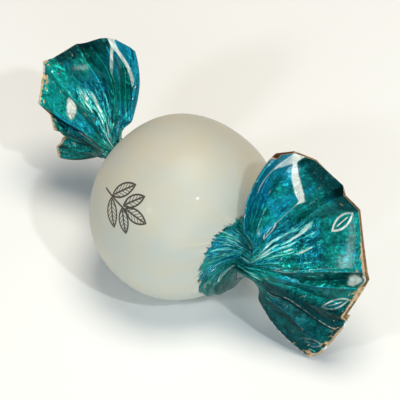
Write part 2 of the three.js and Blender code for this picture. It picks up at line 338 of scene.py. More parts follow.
class PrintTones:
    """How the print looks over one end of the film, with painted shade, a painted blue sheen and
    painted highlights in its colour. Places across the fan are creases, counted up from its lower
    border, and places on the way out are shares of its reach."""

    # How deep the painted shade is, which stands for the shade of the folds
    middle_depth = 0.38
    alternate = 0.28  # how much deeper or lighter every second side of a fold is painted, as painted shade and painted light
    depth_spread = 0.22  # and how much a side differs by chance
    neck_depth = 0.45  # how deep the painted shade is at the twist, where 1 is as on the fan
    neck_ends = (0, 0.25)  # from where to where it changes from the one to the other
    under_roll = 0.75  # how deep the painted shade is just below the roll, where 1 is as on the fan
    turned_depth = 0.8  # how much painted shade is added where the free edge is turned away
    turned_above, turned_past = (11.8, 12.3), (0.84, 0.98)  # and where that is

    # How worn it is along the creases, where the silver lines are partly wear and partly painted
    # highlight lines
    wear_level = 0.3
    wear_spread = 0.3
    border_wear = 0.4
    neck_wear = 0.2  # how worn it is at the twist, where 1 is as on the fan

    # The roll of the upper border
    roll_fold = (14.2857, 16.0)  # the fold beside it, near the twist and at the free edge
    roll_turns = 0.66  # where that fold starts to turn from the one to the other
    fine_fold = (16.85, 15.75)  # a finer fold across it, near the twist and at the free edge
    fine_turns = (0.64, 0.95)  # from where to where that one turns
    roll_blue = (0.35, 0.9)  # the painted blue sheen of the roll, below the finer fold and above it

    # Painted glints, that is painted highlights, beside the main fold and at the twist
    glint_crease = 12.3
    glint_spread = 1.2
    glints_end = (0.5, 0.72)
    glint_blue = 0.75  # the painted blue sheen there
    neck_glint = 0.68  # how much glint is painted at the twist, where 1 is as beside the fold
    neck_glint_ends = (0, 0.3)

    # Painted highlight lines beside the roll and across it, with their widths in sides of folds
    streak_width = (0.04, 0.22)  # of the line beside the roll, near the twist and farther out
    streak_begins = (0.22, 0.4)
    streak_widens = (0.64, 0.7)
    streak_narrows = (0.72, 0.95)
    streak_end = 0.6  # the share of its width that is left at the free edge
    streak_faint = 0.72  # how much fainter it is near the twist
    streak_clears = (0.6, 0.68)
    fine_width = 0.3  # of the line across the roll
    fine_begins = (0.58, 0.68)
    hair = 0.001  # of either line where it has died out

    # The painted highlight spot, and where the free edge is dark
    bright_crease = 9.95
    bright_size = (0.8, 0.08)  # across the fan in sides of folds, and on the way out
    dark_above = (11.2, 11.8)  # the creases between which the edge's bare line dies out
    dark_past = 0.5  # where the film counts as beside the free edge

    def __init__(self, fan, crease, front):
        self.fan = fan
        self.crease = crease
        self.front = front > 0
        self.depth = self.depth_on_fan(front)
        self.wear = self.wear_on_fan()

    def depth_on_fan(self, front):
        """Painted shade: the sides of the folds are painted from light to dark in turn, as if lit and
        shaded, and back again on the back layer, with more below the main fold.
        """
        flank = np.minimum(self.crease, FLANKS - 1).astype(int)
        chance = self.depth_spread * jitters(self.fan.seed + 3, FLANKS)[flank]
        turned = self.alternate * np.where(flank % 2, -1, 1) * front
        below = smoothstep(self.fan.spine - self.crease / FLANKS, -0.04, 0.04)
        return self.middle_depth + turned + chance + self.fan.shade * below

    def wear_on_fan(self):
        wear = self.wear_level + self.wear_spread * jitters(self.fan.seed + 4, FLANKS + 1)
        wear[FLANKS] = self.border_wear
        return wear[np.rint(self.crease).astype(int)]

    def past_folds(self, way):
        """How far the film is past the fold beside the roll and past the finer one across it."""
        out = np.clip((way - self.roll_turns) / (1 - self.roll_turns), 0, 1)
        past_roll = self.crease - mix(*self.roll_fold, out**1.15)
        return past_roll, self.crease - mix(*self.fine_fold, smoothstep(way, *self.fine_turns))

    def from_pale(self, way):
        """How far the film is from the painted highlight lines and the painted highlight spot. Their
        borders are at 1."""
        past_roll, past_fine = self.past_folds(way)
        narrowing = mix(1, self.streak_end, smoothstep(way, *self.streak_narrows))
        width = mix(*self.streak_width, smoothstep(way, *self.streak_widens)) * narrowing
        width = width * smoothstep(way, *self.streak_begins) + self.hair
        faint = self.streak_faint * (1 - smoothstep(way, *self.streak_clears))
        fine_width = self.fine_width * smoothstep(way, *self.fine_begins) + self.hair
        across, out = self.bright_size
        spot_across = (self.crease - self.bright_crease) / across
        from_spot = np.hypot(spot_across, (way - self.fan.bright_at) / out)
        nearest = np.minimum(abs(past_roll) / width + faint, abs(past_fine) / fine_width)
        nearest = np.minimum(np.minimum(nearest, from_spot), FAR_AWAY)
        return np.where(self.front, nearest, FAR_AWAY)

    def at(self, way):
        """What the finish knows of the print at places on the way out, its painted shade, painted blue
        sheen and painted glints included.
        """
        past_roll, past_fine = self.past_folds(way)
        rolled = smoothstep(past_roll, -0.1, 0.15)
        above_fine = smoothstep(past_fine, -0.1, 0.1)
        from_glints = (self.crease - self.glint_crease) / self.glint_spread
        beside_spine = self.front * np.exp(-(from_glints**2)) * (1 - smoothstep(way, *self.glints_end))
        at_neck = self.neck_glint * (1 - smoothstep(way, *self.neck_glint_ends))
        spread = smoothstep(way, *self.neck_ends)
        turned = smoothstep(self.crease, *self.turned_above) * smoothstep(way, *self.turned_past)
        # Painted shade: lighter just below the roll, deeper where the free edge is turned away, and none
        # on the roll, which gets a painted blue sheen instead
        lighter = mix(1, self.under_roll, self.front * smoothstep(past_roll, -2.0, -1.0))
        depth = (self.depth * lighter + self.turned_depth * self.front * turned) * (1 - rolled)
        blue = self.glint_blue * self.fan.glints * beside_spine
        dark_edge = smoothstep(self.crease, *self.dark_above)
        return {
            "depth": np.clip(depth, 0, 1) * mix(self.neck_depth, 1, spread),
            "blue": np.maximum(rolled * mix(*self.roll_blue, above_fine), blue),
            "wear": self.wear * mix(self.neck_wear, 1, spread),
            "dark_edge": self.front * dark_edge * (way > self.dark_past),
            "glint": self.fan.glints * np.maximum(beside_spine, at_neck),
            "from_pale": self.from_pale(way),
        }


# ---- The film's shape --------------------------------------------------------------------------


def softly_uneven(sweet, angle, x):
    along = x / sweet.half_length
    two_sided = np.sin(2 * angle + 0.7 + along)
    three_sided = np.sin(3 * angle - 1.1 * along + 2.0)
    five_sided = 0.6 * np.sin(5 * angle + 1.4)
    return 1 + sweet.unevenness * (two_sided + three_sided + five_sided)


def sweet_profile(sweet, angle):
    """The film's distance from the middle along X, and its radius as a share of the sweet's."""
    exponent = 2 / sweet.squareness
    return sweet.half_length * math.sin(angle) ** exponent, math.cos(angle) ** exponent


def gather_profile(sweet, way):
    """The same where the film draws in to the twist, on a curve that leaves the sweet smoothly."""
    start_x, start_radius = sweet_profile(sweet, sweet.leaves_at)
    before_x, before_radius = sweet_profile(sweet, sweet.leaves_at - 0.01)
    end_radius = sweet.twist_radius / sweet.half_width
    span = sweet.twist_at - start_x
    slope = (start_radius - before_radius) / (start_x - before_x)
    radius = (
        start_radius * (2 * way**3 - 3 * way**2 + 1)
        + slope * span * (way**3 - 2 * way**2 + way)
        + end_radius * (3 * way**2 - 2 * way**3)
    )
    return start_x + span * way, radius


class FanShape:
    """The middle surface of a fan, in its own axes: out along its middle, across towards its upper
    border, and its front normal."""

    bell_from = 0.3  # how far out the bulge and the folds are full, as a share of the reach
    curled_flanks = 3  # sides of folds that take part in a border's roll
    width_spread = 0.35  # how much the sides of folds differ in width, as a share
    slope_spread = 0.3  # and in how steeply they stand
    broad_slope = 0.25  # slope of a broad side, as a share of the others'
    drawn_skew = 1.25  # over 1, the free edge is drawn in most above the middle of its drawn part
    sway = 0.02  # how far a crease strays across the fan on its way out, in radians
    heave = 0.03  # and how far it strays out of the fan
    sway_waves, heave_waves = (5, 9), (4, 8)  # slow and quick, in radians on the whole way out
    strays_from = (0.1, 0.5)  # how far out a crease starts to stray, and strays fully

    def __init__(self, settings, fan, side):
        self.fan = fan
        self.side = side
        self.root = np.array([side * (settings.sweet.twist_at + settings.sweet.twist_length), 0, 0])
        self.find_axes()
        self.find_creases(settings.film.broad_width)

    def find_axes(self):
        fan = self.fan
        out = Vector((
            self.side * math.cos(fan.lift) * math.cos(fan.sweep),
            math.cos(fan.lift) * math.sin(fan.sweep),
            math.sin(fan.lift),
        ))
        front = out.cross(UP * self.side).normalized()
        upright = front.cross(out) * self.side
        across = upright * math.cos(fan.lean) - front * math.sin(fan.lean)
        normal = out.cross(across) * self.side
        self.out, self.across, self.normal = (np.array(axis) for axis in (out, across, normal))
        self.tilt = math.atan2(across.z, across.y)

    def broad(self, flank):
        return flank in (self.fan.first_broad, self.fan.second_broad)

    def heading(self, flank):
        """How steeply one side of a fold runs out of the fan on its way up the fan."""
        fan = self.fan
        uneven = 1 + self.slope_spread * jitter(fan.seed, flank)
        slope = fan.fold_slope * (self.broad_slope if self.broad(flank) else uneven)
        bend = fan.lower_bend if (flank + 0.5) / FLANKS < fan.spine else -fan.upper_bend
        last = FLANKS - 1
        upper = smoothstep(flank, last - self.curled_flanks, last)
        lower = smoothstep(last - flank, last - self.curled_flanks, last)
        folded = (-slope if flank % 2 else slope) * (1 - upper) * (1 - lower)
        return folded + bend + fan.upper_curl * upper - fan.lower_curl * lower

    def find_creases(self, broad_width):
        """Where each crease between two sides of folds lies across the fan and out of it, as
        angles, and its reach."""
        fan = self.fan
        across, out = [0.0], [0.0]
        for flank in range(FLANKS):
            width = self.width(flank, broad_width)
            across.append(across[-1] + width * math.cos(self.heading(flank)))
            out.append(out[-1] + width * math.sin(self.heading(flank)))
        across, out = np.array(across), np.array(out)
        level = out[round(FLANKS * fan.spine)]
        way = across / across[-1]
        bow = 4 * way * (1 - way) * (fan.middle_reach - (fan.lower_reach + fan.upper_reach) / 2)
        drawn = np.minimum(np.arange(FLANKS + 1) / FLANKS / fan.drawn_to, 1) ** self.drawn_skew
        drawn = fan.drawn_in * np.sin(math.pi * drawn)
        self.reach = mix(fan.lower_reach, fan.upper_reach, way) + bow - drawn
        self.reach += fan.ragged * jitters(fan.seed + 2, FLANKS + 1)
        scale = fan.opening / across[-1]
        self.crease_across = (across - across[-1] / 2) * scale
        self.crease_out = (out - level) * scale
        draw = np.random.default_rng(fan.seed)
        self.phases = draw.uniform(0, 2 * math.pi, (4, FLANKS + 1))
        widths = np.array([self.width(flank, broad_width) for flank in range(FLANKS)])
        self.sheet = np.concatenate([[0], np.cumsum(widths)]) / widths.sum()

    def width(self, flank, broad_width):
        """The width of one side of a fold, where most are about 1."""
        uneven = 1 + self.width_spread * jitter(self.fan.seed + 1, flank)
        return (broad_width if self.broad(flank) else 1) * uneven

    def crease_point(self, crease, way):
        """The point of a crease at a share of the way out. Creases stray a little, as real ones do."""
        spread = 1 + self.fan.bell * (1 - way) * smoothstep(way, 0, self.bell_from)
        phases = self.phases[:, crease]
        free = ((crease > 0) & (crease < FLANKS)) * smoothstep(way, *self.strays_from)
        sway = self.sway * stray(way, *self.sway_waves, phases[:2]) * free
        heave = self.heave * stray(way, *self.heave_waves, phases[2:]) * free
        angle = (self.crease_across[crease] + sway) * spread
        stand = (self.crease_out[crease] + heave) * spread
        stand = stand * smoothstep(way, -self.bell_from, self.bell_from)
        direction = (
            (np.cos(stand) * np.cos(angle))[..., None] * self.out
            + (np.cos(stand) * np.sin(angle))[..., None] * self.across
            + np.sin(stand)[..., None] * self.normal
        )
        reach = (self.reach[crease] * way)[..., None]
        return self.root + direction * reach + self.normal * (self.fan.cup * way**2)[..., None]

    def at(self, crease, way):
        """The surface at a crease, or between two where it isn't a whole number."""
        first = np.minimum(np.floor(crease), FLANKS - 1).astype(int)
        between = (crease - first)[..., None]
        return mix(self.crease_point(first, way), self.crease_point(first + 1, way), between)

    def facing(self, crease, way):
        """The front normal, taken over a whole fold, so that a fold's layers don't cross."""
        outward = self.at(crease, way) - self.root
        above, below = np.minimum(crease + 2, FLANKS), np.maximum(crease - 2, 0)
        upward = self.at(above, way) - self.at(below, way)
        return unit(np.cross(outward, upward) * self.side)


class FilmEnd:
    """One end of the film, from beside the middle ring out to its free edge, as rings of points.
    Each ring lists its points in the order of the sweet's own lines, counted about +X."""

    sags_at = math.radians(-105)  # where the gathered film bags out most, as an angle about +X
    pulled_from = (0.2, 1.15)  # from where wrinkles grow, as shares of where the film lifts off
    border = 0.8  # how far in from a fan's border its two layers part, in sides of folds
    inner_border = 0.25  # how far in from it the inside ends
    crease_grid = (1.6, 9)  # the crumple's measure of one side of a fold, and of the whole way out
    crumple_size = 3.0  # how broad the creases are that cross both layers, by that measure
    crinkle_size = 1.3  # and the finer ones of each layer
    gap_spread = 0.35  # how much the gap between the layers differs, as a share
    crumpled_from = (0.05, 0.45)  # how far out the broad creases begin, and are full
    crinkled_from = (0, 0.3)  # and the finer ones
    crinkle_fades = (0.2, 0.8)  # from where to where those fade
    crinkle_left = (0.5, 0.2)  # and the shares of their depth that are left there
    cut_wave = 0.022  # how far the free edge waves in and out, as a share of the reach

    def __init__(self, settings, fan, side):
        self.sweet = settings.sweet
        self.film = settings.film
        self.sag = fan.sag
        self.shape = FanShape(settings, fan, side)
        self.side = side
        self.seed = fan.seed * 100
        turned = self.shape.tilt + self.sweet.twist_turn
        shift = round(turned / (2 * math.pi) * SOLID_LINES) * (LINES // SOLID_LINES)
        self.turned = 2 * math.pi * shift / LINES - self.shape.tilt
        self.line = (np.arange(LINES) - shift) % LINES
        # A line of the film is a column of the fan's front layer, or of its back one.
        self.crease = np.where(self.line <= HALF, HALF - self.line, self.line - HALF) / STEPS
        front = np.where(self.line < HALF, 1.0, -1.0)
        border = np.minimum(np.minimum(self.crease, FLANKS - self.crease) / self.border, 1)
        self.layer = front * np.sqrt(1 - (1 - border) ** 2)
        # A broad side takes more of the sheet than its lines do.
        sheet = np.interp(self.crease, np.arange(FLANKS + 1), self.shape.sheet)
        self.shifted = math.pi * front * (self.crease / FLANKS - sheet)
        self.tones = PrintTones(fan, self.crease, front)

    def tube_places(self, along, stretch):
        """Places in millimetres on the film before it is gathered, when it is still a tube."""
        places = on_tube(self.sweet, along, around())
        places[..., 2] /= stretch
        return places

    def folds(self, x):
        """The gathered folds at a ring, from -1 to 1: the fan's own, and finer ones between."""
        stretch, fold_size, wrinkle_size = 4, 9.0, 4.5
        places = self.tube_places(x, stretch)
        uneven = 1 + 0.5 * swell(places, self.seed + 6, fold_size)
        return self.layer * zigzag(self.crease) * uneven, crumple(places, self.seed + 5, wrinkle_size)

    def round_ring(self, x, radius, depth=0, turned=0, sag=0):
        main, fine = self.folds(x)
        start = sweet_profile(self.sweet, self.sweet.leaves_at)[0]
        low, high = self.pulled_from
        pulled = smoothstep(x, low * start, high * start) ** 2
        tight = smoothstep(x, start, self.sweet.twist_at)
        wrinkle = (self.film.tension * pulled + self.film.crinkle * tight) * fine
        angle = around() - turned
        size = radius * (1 + depth * main) * softly_uneven(self.sweet, angle, self.side * x)
        bag = sag * np.maximum(np.cos(angle - self.sags_at), 0) ** 2
        size = size + (wrinkle + bag) / self.sweet.half_width
        across = self.sweet.half_width * size * np.cos(angle)
        upward = self.sweet.half_height * size * np.sin(angle)
        return np.stack([np.full(LINES, self.side * x), across, upward], -1)

    def twist_offset(self, way):
        """From the middle of the twist to its surface. It tips from upright into the fan's axes."""
        tilt = self.shape.tilt
        upright = np.array([0, math.cos(tilt), math.sin(tilt)])
        sideways = np.array([0, -math.sin(tilt), math.cos(tilt)])
        first = unit(mix(upright, self.shape.across, way))
        second = unit(mix(sideways, self.shape.normal, way))
        main, fine = self.folds(self.sweet.twist_at + way * self.sweet.twist_length)
        radius = self.sweet.twist_radius * (1 + self.sweet.fold_depth * main) + self.film.crinkle * fine
        angle = 2 * math.pi * self.line / LINES
        return (radius * np.cos(angle))[:, None] * first + (radius * np.sin(angle))[:, None] * second

    def sweet_rings(self):
        """Over the sweet, in to the twist and along it."""
        sweet = self.sweet
        rings = []
        for ring in range(1, BODY_RINGS + 1):
            x, radius = sweet_profile(sweet, sweet.leaves_at * ring / BODY_RINGS)
            rings.append(self.round_ring(x, radius))
        for ring in range(1, GATHER_RINGS + 1):
            way = ring / GATHER_RINGS
            x, radius = gather_profile(sweet, way)
            depth = sweet.fold_depth * smoothstep(way, 0, 1)
            sag = self.sag * math.sin(math.pi * way) ** 2
            rings.append(self.round_ring(x, radius, depth, self.turned * way**2, sag))
        for ring in range(1, TWIST_RINGS + 1):
            way = ring / TWIST_RINGS
            middle = np.array([self.side * (sweet.twist_at + sweet.twist_length * way), 0, 0])
            rings.append(self.twist_offset(way) + middle)
        return np.array(rings)

    def fan_rings(self, shares, inside=False):
        """The outside of the fan, or its inside, at shares of the way out to its free edge."""
        film = self.film
        cut = self.cut_wave * swell(self.tube_places(0, 1), self.seed + 20, 5.0)
        way = shares[:, None] * (1 + cut * shares[:, None] ** 3)
        crease = np.broadcast_to(self.crease, way.shape)
        if inside:
            crease = np.clip(crease, self.inner_border, FLANKS - self.inner_border)
        facing = self.shape.facing(crease, way)
        flat = smoothstep(way, 0, 0.5)
        # Creases that cross both layers alike, and finer ones of each layer's own
        across, out = self.crease_grid
        both = np.stack([across * crease, out * way, np.zeros(way.shape)], -1)
        own = both + [0, 0, 4] * np.sign(self.layer)[:, None]
        shared = film.crumple * crumple(both, self.seed + 30, self.crumple_size)
        shared = shared * smoothstep(way, *self.crumpled_from)
        fading = mix(*self.crinkle_left, smoothstep(way, *self.crinkle_fades))
        single = film.crinkle * crumple(own, self.seed + 31, self.crinkle_size) * np.abs(self.layer)
        single = single * smoothstep(way, *self.crinkled_from) * fading
        gap = mix(film.twist_gap, film.mouth_gap, smoothstep(way, POCKET_DEPTH, 1))
        gap = gap * (1 + self.gap_spread * swell(both, self.seed + 32, 4.0))
        wall = film.thickness if inside else 0
        stand = self.layer * np.maximum(gap / 2 - wall, 0.25 * film.thickness)
        relief = facing * ((shared + single + stand) * flat)[..., None]
        return self.shape.at(crease, way) + relief + self.twist_offset(1) * (1 - flat)[..., None]


def around():
    """The angle of each of the film's lines about +X."""
    return 2 * math.pi * np.arange(LINES) / LINES


def on_tube(sweet, along, angles):
    """Places in millimetres on the film before it is gathered, a ring for each distance along it."""
    along = np.asarray(along, float)
    radius = sweet.half_width / MM
    places = np.empty(along.shape + (LINES, 3))
    places[..., 0] = radius * np.cos(angles)
    places[..., 1] = radius * np.sin(angles)
    places[..., 2] = along[..., None] / MM
    return places


class PrintedFilm:
    """The whole film: its outside from the far free edge to the near one, and each fan's inside."""

    gathering = (0.013, 0.018)  # where along the film its folds take their own tones, in metres

    def __init__(self, settings):
        self.sweet = settings.sweet
        far = FilmEnd(settings, settings.far_fan, -1)
        near = FilmEnd(settings, settings.near_fan, 1)
        size = softly_uneven(self.sweet, around(), 0)
        middle = np.stack([
            np.zeros(LINES),
            self.sweet.half_width * size * np.cos(around()),
            self.sweet.half_height * size * np.sin(around()),
        ], -1)
        out = (np.arange(1, FAN_RINGS + 1) / FAN_RINGS) ** FAN_CROWDING
        back = np.linspace(1, POCKET_DEPTH, POCKET_RINGS)
        far_rings = np.concatenate([far.sweet_rings(), far.fan_rings(out)])
        near_rings = np.concatenate([near.sweet_rings(), near.fan_rings(out)])
        self.outside = self.rest(np.concatenate([far_rings[::-1], middle[None], near_rings]))
        self.far_inside = self.rest(far.fan_rings(back, inside=True))
        self.near_inside = self.rest(near.fan_rings(back, inside=True))
        self.ends = (far, near)
        steps = np.linalg.norm(np.diff(self.outside, axis=0), axis=-1).mean(1)
        self.along = np.concatenate([[0], np.cumsum(steps)])
        self.along -= self.along[len(far_rings)]
        self.crest = crests(self.outside)

    def marks(self, along):
        """What the film's points know for its finish, a ring for each distance along it: their
        place on the flat film, how deep its painted shade is, how strong its painted blue sheen is,
        how worn the print is, where glints are painted, where the free edge stays dark, and how far
        they are from the painted highlight lines and spot."""
        necks, mouths = abs(self.along[[FAN_RINGS, -FAN_RINGS - 1]]), abs(self.along[[0, -1]])
        along = along[:, None]
        ways = np.clip((abs(along) - necks) / (mouths - necks), 0, 1)
        far, near = (end.tones.at(ways[:, [side]]) for side, end in enumerate(self.ends))
        gathered = smoothstep(abs(along), *self.gathering)
        marks = {name: gathered * np.where(along > 0, near[name], far[name]) for name in near}
        shifted = gathered * np.where(along > 0, self.ends[1].shifted, self.ends[0].shifted)
        marks["film_place"] = on_tube(self.sweet, along[:, 0], around() + shifted)
        marks["from_pale"] += (1 - gathered) * FAR_AWAY
        return marks

    def rest(self, points):
        """The points with the sweet stood on its flat spot."""
        points[..., 2] = np.maximum(points[..., 2] + self.sweet.rest_height, 0)
        return points


def crests(points):
    """How far each point stands out from those round it, from -1 in a fold to 1 on a ridge."""
    reach, strength = 2, 8
    beside = (np.roll(points, reach, 1) + np.roll(points, -reach, 1)) / 2
    tangent = np.roll(points, -reach, 1) - np.roll(points, reach, 1)
    normal = unit(np.cross(tangent, np.gradient(points, axis=0)))
    width = np.linalg.norm(tangent, axis=-1)
    return np.clip(strength * ((points - beside) * normal).sum(-1) / np.maximum(width, 1e-6), -1, 1)


# ---- From rings of points to pieces ------------------------------------------------------------


def add_object(name, data):
    """An object in the scene that shows a mesh, a lamp or a camera."""
    added = bpy.data.objects.new(name, data)
    bpy.context.scene.collection.objects.link(added)
    return added


def grid_faces(rings):
    """The faces between rings that follow each other."""
    ring, line = np.meshgrid(np.arange(rings - 1), np.arange(LINES), indexing="ij")
    here = ring * LINES + line
    beside = ring * LINES + (line + 1) % LINES
    return np.stack([here, beside, beside + LINES, here + LINES], -1).reshape(-1, 4).tolist()


def grid_corners(across, along):
    """Where the corners of those faces lie on the unrolled film, from 0 to 1 each way."""
    ring, line = np.meshgrid(np.arange(len(along) - 1), np.arange(LINES), indexing="ij")
    left, right = across[line], across[line + 1]
    near, far = along[ring], along[ring + 1]
    corners = [(left, near), (right, near), (right, far), (left, far)]
    return np.stack([np.stack(corner, -1) for corner in corners], 2).reshape(-1, 2)


def cap_faces(ring, centre, first):
    """Triangles between a ring and a point at its centre, for the first ring or for the last."""
    faces = []
    for line in range(LINES):
        here, beside = ring * LINES + line, ring * LINES + (line + 1) % LINES
        faces.append((centre, beside, here) if first else (centre, here, beside))
    return faces


def strip_faces(ring, line_of):
    """A strip that joins the front layer of a fan to the back one, along a ring."""
    at = ring * LINES + np.argsort(line_of)
    faces = [(at[0], at[1], at[-1]), (at[HALF - 1], at[HALF], at[HALF + 1])]
    for line in range(1, HALF - 1):
        faces.append((at[line], at[line + 1], at[LINES - line - 1], at[LINES - line]))
    return faces


class FilmPiece:
    """Rings of film as one closed mesh, with the marks that its finish reads."""

    def __init__(self, name, rings, marks, flipped=False):
        self.name = name
        self.rings = rings
        self.points = list(rings.reshape(-1, 3))
        self.marks = {key: values.reshape(len(self.points), -1) for key, values in marks.items()}
        self.faces = grid_faces(len(rings))
        self.sharp_rings = []
        self.inside_from = len(rings)
        self.flipped = flipped

    def cap(self, ring):
        """Closes the first ring or the last one, inside the twist."""
        centre = len(self.points)
        lines = slice(ring * LINES, (ring + 1) * LINES)
        self.points.append(np.mean(self.points[lines], 0))
        for key, values in self.marks.items():
            self.marks[key] = np.concatenate([values, values[lines].mean(0, keepdims=True)])
        self.faces += cap_faces(ring, centre, ring == 0)
        self.sharp_rings.append(ring)

    def open_mouth(self, lip, line_of):
        """Makes the rings past the lip the inside of a pocket and closes its bottom."""
        self.inside_from = lip + 1
        self.sharp_rings += [lip, lip + 1]
        self.faces += strip_faces(len(self.rings) - 1, line_of)

    def unrolled(self):
        """Each face corner's place on the UV map. The few closing faces lie along its edges."""
        steps = np.linalg.norm(np.diff(self.rings, axis=0), axis=-1).mean(1)
        along = mix(0.01, 0.99, np.concatenate([[0], np.cumsum(steps)]) / steps.sum())
        corners = grid_corners(np.linspace(0, 1, LINES + 1), along)
        closing = sum(len(face) for face in self.faces[len(corners) // 4:])
        edge = np.stack([np.linspace(0, 1, closing), np.where(np.arange(closing) % 3, 0.995, 1.0)], -1)
        return np.concatenate([corners, edge])

    def build(self, finishes):
        mesh = bpy.data.meshes.new(self.name)
        mesh.from_pydata(self.points, [], self.faces)
        unrolled = mesh.uv_layers.new(name=SHEET_MAP)
        unrolled.uv.foreach_set("vector", self.unrolled().ravel())
        for name, values in self.marks.items():
            kind, key = ("FLOAT_VECTOR", "vector") if values.shape[1] == 3 else ("FLOAT", "value")
            mesh.attributes.new(name, kind, "POINT").data.foreach_set(key, values.ravel())
        inside = np.array([face[0] // LINES + 1 for face in self.faces]) >= self.inside_from
        mesh.polygons.foreach_set("material_index", np.where(inside, BARE_INSIDE, 0))
        mesh.polygons.foreach_set("use_smooth", np.ones(len(self.faces), bool))
        self.sharpen(mesh)
        if self.flipped:
            mesh.flip_normals()
        for finish in finishes:
            mesh.materials.append(finish)
        return add_object(self.name, mesh)

    def sharpen(self, mesh):
        """Marks the edges that run along a cap or a lip as sharp."""
        ends = np.empty(2 * len(mesh.edges), int)
        mesh.edges.foreach_get("vertices", ends)
        ends = ends.reshape(-1, 2)
        rings = ends // LINES
        along_ring = (rings[:, 0] == rings[:, 1]) & np.isin(rings[:, 0], self.sharp_rings)
        marks = mesh.attributes.new("sharp_edge", "BOOLEAN", "EDGE")
        marks.data.foreach_set("value", along_ring)


def settle(piece):
    """Lets a piece ride with the sweet and stand for its solid."""
    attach(piece, BODY)
    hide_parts(NODE)


def body_film(film):
    rings = slice(FAN_RINGS, len(film.outside) - FAN_RINGS)
    outside = film.outside[rings]
    marks = film.marks(film.along[rings])
    marks["crest"] = film.crest[rings]
    marks["from_edge"] = np.full(marks["depth"].shape, FAR_AWAY)
    piece = FilmPiece("body_film", outside, marks)
    piece.cap(0)
    piece.cap(len(outside) - 1)
    return piece


def fan_film(name, film, rings, inside, end, flipped):
    """A fan with its mouth open. Its rings run from the twist to the lip and back inside."""
    outside, along, crest = film.outside[rings], film.along[rings], film.crest[rings]
    reach = abs(along[-1] - along[0])
    back = np.interp(np.linspace(1, POCKET_DEPTH, len(inside)) * reach, abs(along - along[0]), along)
    all_along = np.concatenate([along, back])
    marks = film.marks(all_along)
    marks["crest"] = np.concatenate([crest, np.zeros(inside.shape[:2])])
    marks["from_edge"] = np.repeat(abs(all_along - along[-1])[:, None] / MM, LINES, 1)
    piece = FilmPiece(name, np.concatenate([outside, inside]), marks, flipped)
    piece.cap(0)
    piece.open_mouth(len(outside) - 1, end.line)
    return piece


# ---- Finishes ----------------------------------------------------------------------------------


class Measure:
    """A number that changes over the film. Sums on it add the nodes that work them out."""

    def __init__(self, finish, socket):
        self.finish = finish
        self.socket = socket

    def __add__(self, other):
        return self.finish.maths("ADD", self, other)

    def __sub__(self, other):
        return self.finish.maths("SUBTRACT", self, other)

    def __rsub__(self, other):
        return self.finish.maths("SUBTRACT", other, self)

    def __mul__(self, other):
        return self.finish.maths("MULTIPLY", self, other)

    def __truediv__(self, other):
        return self.finish.maths("DIVIDE", self, other)

    def __mod__(self, other):
        return self.finish.maths("FLOORED_MODULO", self, other)

    def __abs__(self):
        return self.finish.maths("ABSOLUTE", self)

    __radd__ = __add__
    __rmul__ = __mul__


